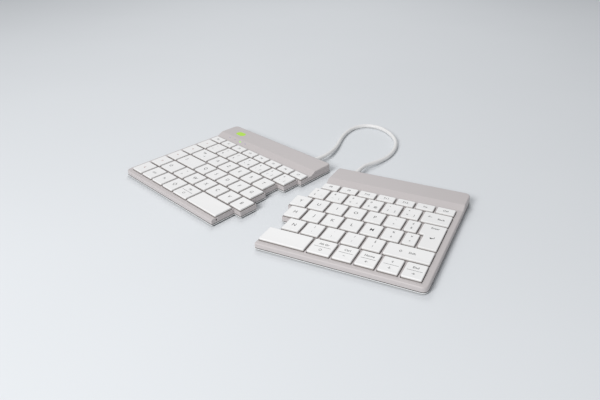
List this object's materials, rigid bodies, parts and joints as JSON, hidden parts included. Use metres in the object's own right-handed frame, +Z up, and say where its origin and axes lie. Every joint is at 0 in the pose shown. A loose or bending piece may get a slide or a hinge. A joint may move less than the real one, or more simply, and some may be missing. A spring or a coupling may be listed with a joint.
{
  "type": "ergonomic split keyboard",
  "caption": "Low computer keyboard in two stepped halves that stand apart at an angle, joined by a short cable, with sprung keys over scissor levers and a raised hood behind.",
  "frame": {"origin": "on the table, under the middle of the box round both halves without their cable", "axes": "+X to the right along the key rows, +Y away from the typist, +Z up"},
  "size_m": [0.3562, 0.2777, 0.0105],
  "materials": {
    "cap_plastic": "fine satin moulded keycap plastic, off-white",
    "case_plastic": "fine matte texture, light warm grey",
    "tray_gloss": "smooth gloss white rim and underside",
    "plate_steel": "pressed sheet steel",
    "membrane_film": "printed polyester film",
    "dome_rubber": "moulded silicone",
    "lever_plastic": "moulded acetal, slightly waxy",
    "board_laminate": "green solder-masked laminate",
    "foot_rubber": "grey non-slip rubber",
    "screw_steel": "zinc plated steel",
    "cable_jacket": "soft off-white jacket",
    "window_lens": "clear lens over a green lamp",
    "indicator_lens": "small translucent light pipes",
    "socket_steel": "bright tinned shell"
  },
  "bodies": {
    "left_half": {"left_top_case": "case_plastic", "left_bottom_case": "tray_gloss", "left_key_plate": "plate_steel", "left_membrane": "membrane_film", "left_rubber_domes": "dome_rubber", "left_outer_levers": "lever_plastic", "left_inner_levers": "lever_plastic", "left_control_board": "board_laminate", "left_rubber_feet": "foot_rubber", "left_case_screws": "screw_steel", "left_strain_relief": "cable_jacket", "link_cable": "cable_jacket", "status_window": "window_lens", "indicator_lights": "indicator_lens", "usb_socket": "socket_steel"},
    "right_half": {"right_top_case": "case_plastic", "right_bottom_case": "tray_gloss", "right_key_plate": "plate_steel", "right_membrane": "membrane_film", "right_rubber_domes": "dome_rubber", "right_outer_levers": "lever_plastic", "right_inner_levers": "lever_plastic", "right_control_board": "board_laminate", "right_rubber_feet": "foot_rubber", "right_case_screws": "screw_steel", "right_strain_relief": "cable_jacket"},
    "edge_column_keys": {"edge_column_keys": "cap_plastic"},
    "control_key_left": {"control_key_left": "cap_plastic"},
    "fn_key": {"fn_key": "cap_plastic"},
    "system_key_left": {"system_key_left": "cap_plastic"},
    "alt_key_left": {"alt_key_left": "cap_plastic"},
    "space_key_left": {"space_key_left": "cap_plastic"},
    "shift_key_left": {"shift_key_left": "cap_plastic"},
    "lower_letter_keys_left": {"lower_letter_keys_left": "cap_plastic"},
    "caps_lock_key": {"caps_lock_key": "cap_plastic"},
    "home_letter_keys_left": {"home_letter_keys_left": "cap_plastic"},
    "tab_key": {"tab_key": "cap_plastic"},
    "upper_letter_keys_left": {"upper_letter_keys_left": "cap_plastic"},
    "number_keys_left": {"number_keys_left": "cap_plastic"},
    "escape_key": {"escape_key": "cap_plastic"},
    "function_keys_left": {"function_keys_left": "cap_plastic"},
    "space_key_right": {"space_key_right": "cap_plastic"},
    "alt_gr_key": {"alt_gr_key": "cap_plastic"},
    "control_key_right": {"control_key_right": "cap_plastic"},
    "arrow_keys": {"arrow_keys": "cap_plastic"},
    "lower_letter_keys_right": {"lower_letter_keys_right": "cap_plastic"},
    "shift_key_right": {"shift_key_right": "cap_plastic"},
    "home_letter_keys_right": {"home_letter_keys_right": "cap_plastic"},
    "narrow_key_home": {"narrow_key_home": "cap_plastic"},
    "enter_key": {"enter_key": "cap_plastic"},
    "upper_letter_keys_right": {"upper_letter_keys_right": "cap_plastic"},
    "narrow_key_upper": {"narrow_key_upper": "cap_plastic"},
    "number_keys_right": {"number_keys_right": "cap_plastic"},
    "backspace_key": {"backspace_key": "cap_plastic"},
    "function_keys_right": {"function_keys_right": "cap_plastic"},
    "insert_key": {"insert_key": "cap_plastic"},
    "delete_key": {"delete_key": "cap_plastic"}
  },
  "joints": [
    {"name": "halves_swing", "type": "hinge", "parent": "left_half", "child": "right_half", "pos_m": [0.0185, 0.10174, 0], "axis": [0, 0, 1], "range_deg": [-11, 12], "deforming": ["link_cable"]},
    {"name": "edge_column_keys_press", "type": "slide", "parent": "left_half", "child": "edge_column_keys", "axis": [0, 0, 1], "range_m": [-0.002, 0], "stiffness_N_per_m": 250, "deforming": ["left_rubber_domes", "left_outer_levers", "left_inner_levers"]},
    {"name": "control_key_left_press", "type": "slide", "parent": "left_half", "child": "control_key_left", "axis": [0, 0, 1], "range_m": [-0.002, 0], "stiffness_N_per_m": 250, "deforming": ["left_rubber_domes", "left_outer_levers", "left_inner_levers"]},
    {"name": "fn_key_press", "type": "slide", "parent": "left_half", "child": "fn_key", "axis": [0, 0, 1], "range_m": [-0.002, 0], "stiffness_N_per_m": 250, "deforming": ["left_rubber_domes", "left_outer_levers", "left_inner_levers"]},
    {"name": "system_key_left_press", "type": "slide", "parent": "left_half", "child": "system_key_left", "axis": [0, 0, 1], "range_m": [-0.002, 0], "stiffness_N_per_m": 250, "deforming": ["left_rubber_domes", "left_outer_levers", "left_inner_levers"]},
    {"name": "alt_key_left_press", "type": "slide", "parent": "left_half", "child": "alt_key_left", "axis": [0, 0, 1], "range_m": [-0.002, 0], "stiffness_N_per_m": 250, "deforming": ["left_rubber_domes", "left_outer_levers", "left_inner_levers"]},
    {"name": "space_key_left_press", "type": "slide", "parent": "left_half", "child": "space_key_left", "axis": [0, 0, 1], "range_m": [-0.002, 0], "stiffness_N_per_m": 250, "deforming": ["left_rubber_domes", "left_outer_levers", "left_inner_levers"]},
    {"name": "shift_key_left_press", "type": "slide", "parent": "left_half", "child": "shift_key_left", "axis": [0, 0, 1], "range_m": [-0.002, 0], "stiffness_N_per_m": 250, "deforming": ["left_rubber_domes", "left_outer_levers", "left_inner_levers"]},
    {"name": "lower_letter_keys_left_press", "type": "slide", "parent": "left_half", "child": "lower_letter_keys_left", "axis": [0, 0, 1], "range_m": [-0.002, 0], "stiffness_N_per_m": 250, "deforming": ["left_rubber_domes", "left_outer_levers", "left_inner_levers"]},
    {"name": "caps_lock_key_press", "type": "slide", "parent": "left_half", "child": "caps_lock_key", "axis": [0, 0, 1], "range_m": [-0.002, 0], "stiffness_N_per_m": 250, "deforming": ["left_rubber_domes", "left_outer_levers", "left_inner_levers"]},
    {"name": "home_letter_keys_left_press", "type": "slide", "parent": "left_half", "child": "home_letter_keys_left", "axis": [0, 0, 1], "range_m": [-0.002, 0], "stiffness_N_per_m": 250, "deforming": ["left_rubber_domes", "left_outer_levers", "left_inner_levers"]},
    {"name": "tab_key_press", "type": "slide", "parent": "left_half", "child": "tab_key", "axis": [0, 0, 1], "range_m": [-0.002, 0], "stiffness_N_per_m": 250, "deforming": ["left_rubber_domes", "left_outer_levers", "left_inner_levers"]},
    {"name": "upper_letter_keys_left_press", "type": "slide", "parent": "left_half", "child": "upper_letter_keys_left", "axis": [0, 0, 1], "range_m": [-0.002, 0], "stiffness_N_per_m": 250, "deforming": ["left_rubber_domes", "left_outer_levers", "left_inner_levers"]},
    {"name": "number_keys_left_press", "type": "slide", "parent": "left_half", "child": "number_keys_left", "axis": [0, 0, 1], "range_m": [-0.002, 0], "stiffness_N_per_m": 250, "deforming": ["left_rubber_domes", "left_outer_levers", "left_inner_levers"]},
    {"name": "escape_key_press", "type": "slide", "parent": "left_half", "child": "escape_key", "axis": [0, 0, 1], "range_m": [-0.002, 0], "stiffness_N_per_m": 250, "deforming": ["left_rubber_domes", "left_outer_levers", "left_inner_levers"]},
    {"name": "function_keys_left_press", "type": "slide", "parent": "left_half", "child": "function_keys_left", "axis": [0, 0, 1], "range_m": [-0.002, 0], "stiffness_N_per_m": 250, "deforming": ["left_rubber_domes", "left_outer_levers", "left_inner_levers"]},
    {"name": "space_key_right_press", "type": "slide", "parent": "right_half", "child": "space_key_right", "axis": [0, 0, 1], "range_m": [-0.002, 0], "stiffness_N_per_m": 250, "deforming": ["right_rubber_domes", "right_outer_levers", "right_inner_levers"]},
    {"name": "alt_gr_key_press", "type": "slide", "parent": "right_half", "child": "alt_gr_key", "axis": [0, 0, 1], "range_m": [-0.002, 0], "stiffness_N_per_m": 250, "deforming": ["right_rubber_domes", "right_outer_levers", "right_inner_levers"]},
    {"name": "control_key_right_press", "type": "slide", "parent": "right_half", "child": "control_key_right", "axis": [0, 0, 1], "range_m": [-0.002, 0], "stiffness_N_per_m": 250, "deforming": ["right_rubber_domes", "right_outer_levers", "right_inner_levers"]},
    {"name": "arrow_keys_press", "type": "slide", "parent": "right_half", "child": "arrow_keys", "axis": [0, 0, 1], "range_m": [-0.002, 0], "stiffness_N_per_m": 250, "deforming": ["right_rubber_domes", "right_outer_levers", "right_inner_levers"]},
    {"name": "lower_letter_keys_right_press", "type": "slide", "parent": "right_half", "child": "lower_letter_keys_right", "axis": [0, 0, 1], "range_m": [-0.002, 0], "stiffness_N_per_m": 250, "deforming": ["right_rubber_domes", "right_outer_levers", "right_inner_levers"]},
    {"name": "shift_key_right_press", "type": "slide", "parent": "right_half", "child": "shift_key_right", "axis": [0, 0, 1], "range_m": [-0.002, 0], "stiffness_N_per_m": 250, "deforming": ["right_rubber_domes", "right_outer_levers", "right_inner_levers"]},
    {"name": "home_letter_keys_right_press", "type": "slide", "parent": "right_half", "child": "home_letter_keys_right", "axis": [0, 0, 1], "range_m": [-0.002, 0], "stiffness_N_per_m": 250, "deforming": ["right_rubber_domes", "right_outer_levers", "right_inner_levers"]},
    {"name": "narrow_key_home_press", "type": "slide", "parent": "right_half", "child": "narrow_key_home", "axis": [0, 0, 1], "range_m": [-0.002, 0], "stiffness_N_per_m": 250, "deforming": ["right_rubber_domes", "right_outer_levers", "right_inner_levers"]},
    {"name": "enter_key_press", "type": "slide", "parent": "right_half", "child": "enter_key", "axis": [0, 0, 1], "range_m": [-0.002, 0], "stiffness_N_per_m": 250, "deforming": ["right_rubber_domes", "right_outer_levers", "right_inner_levers"]},
    {"name": "upper_letter_keys_right_press", "type": "slide", "parent": "right_half", "child": "upper_letter_keys_right", "axis": [0, 0, 1], "range_m": [-0.002, 0], "stiffness_N_per_m": 250, "deforming": ["right_rubber_domes", "right_outer_levers", "right_inner_levers"]},
    {"name": "narrow_key_upper_press", "type": "slide", "parent": "right_half", "child": "narrow_key_upper", "axis": [0, 0, 1], "range_m": [-0.002, 0], "stiffness_N_per_m": 250, "deforming": ["right_rubber_domes", "right_outer_levers", "right_inner_levers"]},
    {"name": "number_keys_right_press", "type": "slide", "parent": "right_half", "child": "number_keys_right", "axis": [0, 0, 1], "range_m": [-0.002, 0], "stiffness_N_per_m": 250, "deforming": ["right_rubber_domes", "right_outer_levers", "right_inner_levers"]},
    {"name": "backspace_key_press", "type": "slide", "parent": "right_half", "child": "backspace_key", "axis": [0, 0, 1], "range_m": [-0.002, 0], "stiffness_N_per_m": 250, "deforming": ["right_rubber_domes", "right_outer_levers", "right_inner_levers"]},
    {"name": "function_keys_right_press", "type": "slide", "parent": "right_half", "child": "function_keys_right", "axis": [0, 0, 1], "range_m": [-0.002, 0], "stiffness_N_per_m": 250, "deforming": ["right_rubber_domes", "right_outer_levers", "right_inner_levers"]},
    {"name": "insert_key_press", "type": "slide", "parent": "right_half", "child": "insert_key", "axis": [0, 0, 1], "range_m": [-0.002, 0], "stiffness_N_per_m": 250, "deforming": ["right_rubber_domes", "right_outer_levers", "right_inner_levers"]},
    {"name": "delete_key_press", "type": "slide", "parent": "right_half", "child": "delete_key", "axis": [0, 0, 1], "range_m": [-0.002, 0], "stiffness_N_per_m": 250, "deforming": ["right_rubber_domes", "right_outer_levers", "right_inner_levers"]}
  ]
}
